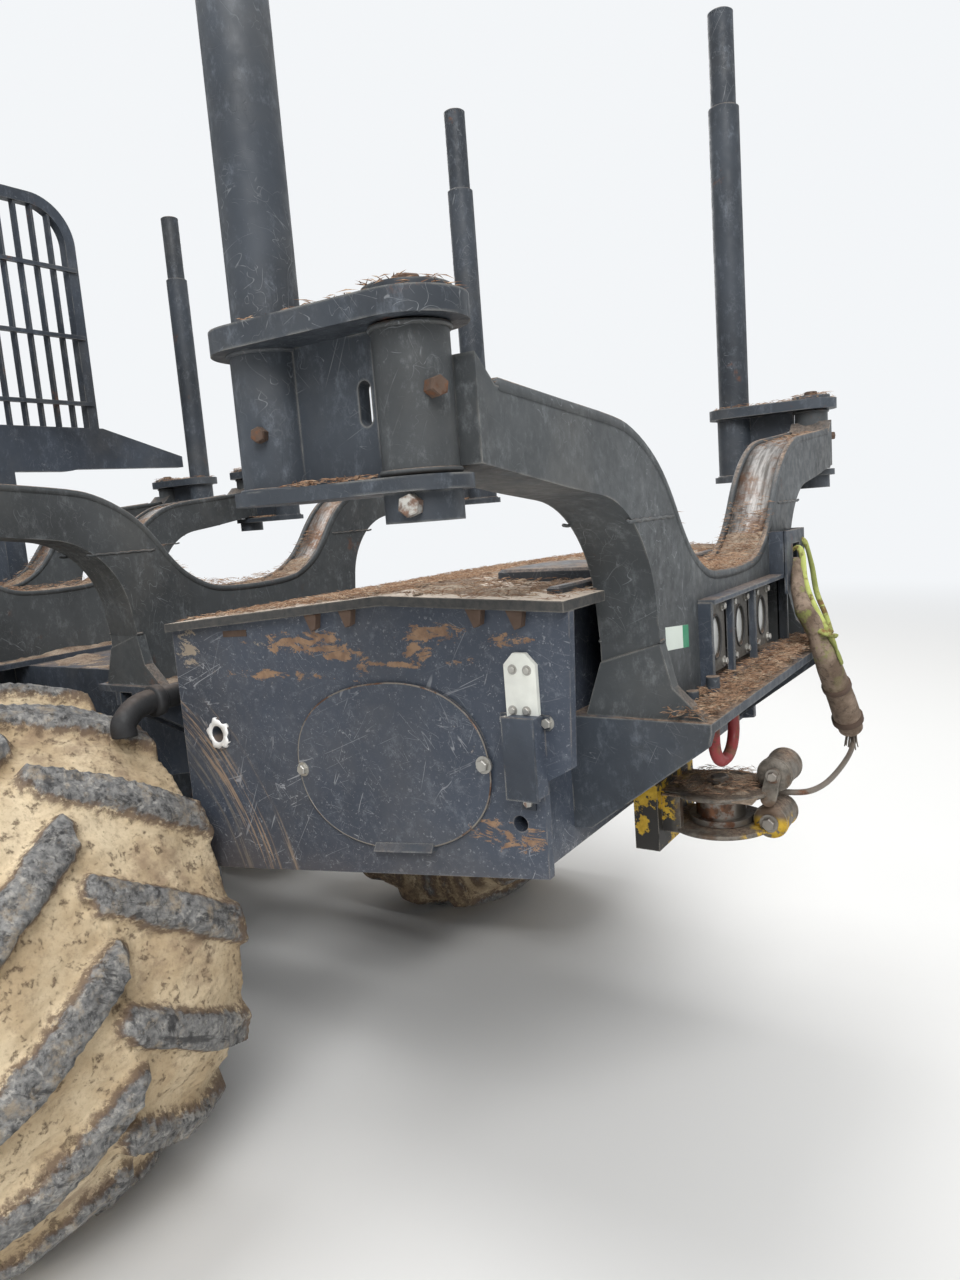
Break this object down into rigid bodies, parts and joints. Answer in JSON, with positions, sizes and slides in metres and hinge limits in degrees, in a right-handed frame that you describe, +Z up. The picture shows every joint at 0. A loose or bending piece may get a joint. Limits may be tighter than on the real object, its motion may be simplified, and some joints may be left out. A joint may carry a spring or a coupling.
{
  "type": "forestry forwarder with timber crane",
  "caption": "Articulated timber forwarder with a winch box, bunks with folding stake brackets, a barred gate, a cab and a folding crane with grapple.",
  "frame": {"origin": "on the ground, at the centre of the machine's length and width, from the tail rollers to the front bumper and between the tyres' outer sides", "axes": "+X forward to the engine end, +Y to the driver's left, +Z up"},
  "size_m": [9.211, 2.84, 6.0277],
  "materials": {
    "frame_paint": "worn satin dark blue-grey paint, scratched, dusty",
    "cast_paint": "worn satin dark blue-grey paint on castings",
    "roof_paint": "dark paint under dust and litter",
    "tyre_rubber": "worn rubber with dried tan mud",
    "hook_red": "worn red paint on a bent bar",
    "yellow_paint": "chipped yellow paint and bare steel",
    "bare_steel": "worn bare steel with light rust",
    "rusty_steel": "rusty steel",
    "rope_steel": "greasy wire rope",
    "cylinder_paint": "black satin paint",
    "chrome_rod": "polished cylinder rod",
    "body_panel": "moulded dark blue-grey panel",
    "cab_glass": "tinted window glass",
    "lamp": "black lamp bodies with clear lenses",
    "seat_cloth": "dark seat cloth",
    "engine_iron": "painted engine block and radiator"
  },
  "bodies": {
    "rear_body": {"rear_frame": "frame_paint", "tail_carrier": "frame_paint", "rear_bogies": "frame_paint", "bunks": "cast_paint", "gate": "frame_paint", "winch_box": "frame_paint", "winch_roof": "roof_paint", "fairlead": "yellow_paint", "rear_lamps": "lamp", "winch_rope": "rope_steel", "rope_fitting": "rusty_steel", "tow_hook": "hook_red", "steering_cylinders": "cylinder_paint"},
    "front_body": {"front_frame": "frame_paint", "front_mudguards": "frame_paint", "front_bogies": "frame_paint", "cab": "frame_paint", "cab_glass": "cab_glass", "operator_seat": "seat_cloth", "engine": "engine_iron", "work_lamps": "lamp"},
    "door": {"cab_door": "frame_paint", "door_glass": "cab_glass"},
    "hood": {"hood": "body_panel"},
    "sheave": {"fairlead_sheave": "bare_steel"},
    "steering_rod_left": {"steering_rod_left": "chrome_rod"},
    "steering_rod_right": {"steering_rod_right": "chrome_rod"},
    "crane_pillar": {"crane_pillar": "frame_paint"},
    "lift_boom": {"lift_boom": "frame_paint"},
    "jib": {"jib": "frame_paint"},
    "telescope": {"telescope": "frame_paint"},
    "hanger": {"hanger": "frame_paint"},
    "grapple_head": {"grapple_head": "frame_paint"},
    "claw_left": {"claw_left": "frame_paint"},
    "claw_right": {"claw_right": "frame_paint"},
    "lift_barrel": {"lift_barrel": "cylinder_paint"},
    "lift_rod": {"lift_rod": "chrome_rod"},
    "jib_barrel": {"jib_barrel": "cylinder_paint"},
    "jib_rod": {"jib_rod": "chrome_rod"},
    "grapple_barrel": {"grapple_barrel": "cylinder_paint"},
    "grapple_rod": {"grapple_rod": "chrome_rod"},
    "wheel_rear_left_trailing": {"wheel_rear_left_trailing": "tyre_rubber"},
    "wheel_rear_right_trailing": {"wheel_rear_right_trailing": "tyre_rubber"},
    "wheel_rear_left_leading": {"wheel_rear_left_leading": "tyre_rubber"},
    "wheel_rear_right_leading": {"wheel_rear_right_leading": "tyre_rubber"},
    "wheel_front_left_trailing": {"wheel_front_left_trailing": "tyre_rubber"},
    "wheel_front_right_trailing": {"wheel_front_right_trailing": "tyre_rubber"},
    "wheel_front_left_leading": {"wheel_front_left_leading": "tyre_rubber"},
    "wheel_front_right_leading": {"wheel_front_right_leading": "tyre_rubber"},
    "stake_bracket_1_left": {"stake_bracket_1_left": "frame_paint"},
    "stake_bracket_1_right": {"stake_bracket_1_right": "frame_paint"},
    "stake_bracket_2_left": {"stake_bracket_2_left": "frame_paint"},
    "stake_bracket_2_right": {"stake_bracket_2_right": "frame_paint"},
    "stake_bracket_3_left": {"stake_bracket_3_left": "frame_paint"},
    "stake_bracket_3_right": {"stake_bracket_3_right": "frame_paint"},
    "stake_bracket_4_left": {"stake_bracket_4_left": "frame_paint"},
    "stake_bracket_4_right": {"stake_bracket_4_right": "frame_paint"}
  },
  "joints": [
    {"name": "steering", "type": "hinge", "parent": "rear_body", "child": "front_body", "pos_m": [0.81, 0, 1.045], "axis": [0, 0, 1], "range_deg": [-40, 40]},
    {"name": "steering_rod_left_slide", "type": "slide", "parent": "rear_body", "child": "steering_rod_left", "axis": [1, 0, 0], "range_m": [-0.217, 0.217]},
    {"name": "steering_rod_right_slide", "type": "slide", "parent": "rear_body", "child": "steering_rod_right", "axis": [1, 0, 0], "range_m": [-0.217, 0.217]},
    {"name": "wheel_rear_left_trailing_spin", "type": "hinge", "parent": "rear_body", "child": "wheel_rear_left_trailing", "pos_m": [-2.84, 1.065, 0.66889], "axis": [0, 1, 0], "continuous": true},
    {"name": "wheel_rear_right_trailing_spin", "type": "hinge", "parent": "rear_body", "child": "wheel_rear_right_trailing", "pos_m": [-2.84, -1.065, 0.66889], "axis": [0, 1, 0], "continuous": true},
    {"name": "wheel_rear_left_leading_spin", "type": "hinge", "parent": "rear_body", "child": "wheel_rear_left_leading", "pos_m": [-1.34, 1.065, 0.66889], "axis": [0, 1, 0], "continuous": true},
    {"name": "wheel_rear_right_leading_spin", "type": "hinge", "parent": "rear_body", "child": "wheel_rear_right_leading", "pos_m": [-1.34, -1.065, 0.66889], "axis": [0, 1, 0], "continuous": true},
    {"name": "wheel_front_left_trailing_spin", "type": "hinge", "parent": "front_body", "child": "wheel_front_left_trailing", "pos_m": [2.01, 1.065, 0.66889], "axis": [0, 1, 0], "continuous": true},
    {"name": "wheel_front_right_trailing_spin", "type": "hinge", "parent": "front_body", "child": "wheel_front_right_trailing", "pos_m": [2.01, -1.065, 0.66889], "axis": [0, 1, 0], "continuous": true},
    {"name": "wheel_front_left_leading_spin", "type": "hinge", "parent": "front_body", "child": "wheel_front_left_leading", "pos_m": [3.51, 1.065, 0.66889], "axis": [0, 1, 0], "continuous": true},
    {"name": "wheel_front_right_leading_spin", "type": "hinge", "parent": "front_body", "child": "wheel_front_right_leading", "pos_m": [3.51, -1.065, 0.66889], "axis": [0, 1, 0], "continuous": true},
    {"name": "stake_bracket_1_left_swing", "type": "hinge", "parent": "rear_body", "child": "stake_bracket_1_left", "pos_m": [-4.368, 1.105, 1.82], "axis": [0, 0, 1], "range_deg": [0, 90]},
    {"name": "stake_bracket_1_right_swing", "type": "hinge", "parent": "rear_body", "child": "stake_bracket_1_right", "pos_m": [-4.368, -1.105, 1.82], "axis": [0, 0, -1], "range_deg": [0, 90]},
    {"name": "stake_bracket_2_left_swing", "type": "hinge", "parent": "rear_body", "child": "stake_bracket_2_left", "pos_m": [-2.791, 1.105, 1.82], "axis": [0, 0, -1], "range_deg": [0, 90]},
    {"name": "stake_bracket_2_right_swing", "type": "hinge", "parent": "rear_body", "child": "stake_bracket_2_right", "pos_m": [-2.791, -1.105, 1.82], "axis": [0, 0, 1], "range_deg": [0, 90]},
    {"name": "stake_bracket_3_left_swing", "type": "hinge", "parent": "rear_body", "child": "stake_bracket_3_left", "pos_m": [-1.665, 1.105, 1.82], "axis": [0, 0, -1], "range_deg": [0, 90]},
    {"name": "stake_bracket_3_right_swing", "type": "hinge", "parent": "rear_body", "child": "stake_bracket_3_right", "pos_m": [-1.665, -1.105, 1.82], "axis": [0, 0, 1], "range_deg": [0, 90]},
    {"name": "stake_bracket_4_left_swing", "type": "hinge", "parent": "rear_body", "child": "stake_bracket_4_left", "pos_m": [-1.065, 1.105, 1.82], "axis": [0, 0, -1], "range_deg": [0, 90]},
    {"name": "stake_bracket_4_right_swing", "type": "hinge", "parent": "rear_body", "child": "stake_bracket_4_right", "pos_m": [-1.065, -1.105, 1.82], "axis": [0, 0, 1], "range_deg": [0, 90]},
    {"name": "sheave_spin", "type": "hinge", "parent": "rear_body", "child": "sheave", "pos_m": [-4.41, 0.08, 0.942], "axis": [0, 0, 1], "continuous": true},
    {"name": "door_hinge", "type": "hinge", "parent": "front_body", "child": "door", "pos_m": [1.75, 0.819, 2.525], "axis": [0, 0, 1], "range_deg": [0, 95]},
    {"name": "hood_hinge", "type": "hinge", "parent": "front_body", "child": "hood", "pos_m": [4.4, 0, 1.45], "axis": [0, 1, 0], "range_deg": [0, 60]},
    {"name": "crane_slew", "type": "hinge", "parent": "rear_body", "child": "crane_pillar", "pos_m": [0.06, 0, 1.52], "axis": [0, 0, 1], "range_deg": [0, 360]},
    {"name": "boom_lift", "type": "hinge", "parent": "crane_pillar", "child": "lift_boom", "pos_m": [-0.04, 0, 3.75], "axis": [0, -1, 0], "range_deg": [-38, 35]},
    {"name": "jib_fold", "type": "hinge", "parent": "lift_boom", "child": "jib", "pos_m": [-2.26153, 0, 5.61408], "axis": [0, 1, 0], "range_deg": [-105, 20]},
    {"name": "telescope_slide", "type": "slide", "parent": "jib", "child": "telescope", "axis": [-0.9848, 0, 0.1736], "range_m": [0, 1.3]},
    {"name": "hanger_swing", "type": "hinge", "parent": "telescope", "child": "hanger", "pos_m": [-4.28038, 0, 5.97006], "axis": [0, 1, 0], "range_deg": [-20, 105]},
    {"name": "rotator", "type": "hinge", "parent": "hanger", "child": "grapple_head", "pos_m": [-4.28038, 0, 5.55706], "axis": [0, 0, 1], "continuous": true},
    {"name": "claw_open", "type": "hinge", "parent": "grapple_head", "child": "claw_left", "pos_m": [-4.28038, 0.2, 5.29206], "axis": [1, 0, 0], "range_deg": [0, 50]},
    {"name": "claw_right_follow", "type": "hinge", "parent": "grapple_head", "child": "claw_right", "pos_m": [-4.28038, -0.2, 5.29206], "axis": [1, 0, 0], "range_deg": [-50, 0]},
    {"name": "grapple_barrel_follow", "type": "hinge", "parent": "claw_left", "child": "grapple_barrel", "pos_m": [-4.28038, 0.3, 5.39206], "axis": [1, 0, 0], "range_deg": [-50, 0]},
    {"name": "grapple_rod_follow", "type": "slide", "parent": "grapple_barrel", "child": "grapple_rod", "axis": [0, -1, 0], "range_m": [-0.225, 0]},
    {"name": "lift_barrel_follow", "type": "hinge", "parent": "crane_pillar", "child": "lift_barrel", "pos_m": [-0.27, 0, 2.45], "axis": [0, -1, 0], "range_deg": [-9.2, 8.5]},
    {"name": "lift_rod_follow", "type": "slide", "parent": "lift_barrel", "child": "lift_rod", "axis": [-0.2638, 0, 0.9646], "range_m": [-0.334, 0.362]},
    {"name": "jib_barrel_follow", "type": "hinge", "parent": "lift_boom", "child": "jib_barrel", "pos_m": [-0.44098, 0, 4.43892], "axis": [0, 1, 0], "range_deg": [-3.4, 0.7]},
    {"name": "jib_rod_follow", "type": "slide", "parent": "jib_barrel", "child": "jib_rod", "axis": [-0.7535, 0, 0.6574], "range_m": [-0.119, 0.622]}
  ],
  "couplings": [
    {"joint": "steering_rod_left_slide", "follows": "steering", "m_per_rad": -0.31},
    {"joint": "steering_rod_right_slide", "follows": "steering", "m_per_rad": 0.31},
    {"joint": "hanger_swing", "follows": "jib_fold", "ratio": -1},
    {"joint": "claw_right_follow", "follows": "claw_open", "ratio": -1},
    {"joint": "grapple_barrel_follow", "follows": "claw_open", "ratio": -1},
    {"joint": "grapple_rod_follow", "follows": "claw_open", "m_per_rad": -0.257},
    {"joint": "lift_barrel_follow", "follows": "boom_lift", "ratio": 0.24},
    {"joint": "lift_rod_follow", "follows": "boom_lift", "m_per_rad": -0.545},
    {"joint": "jib_barrel_follow", "follows": "jib_fold", "ratio": 0.032},
    {"joint": "jib_rod_follow", "follows": "jib_fold", "m_per_rad": -0.339}
  ]
}
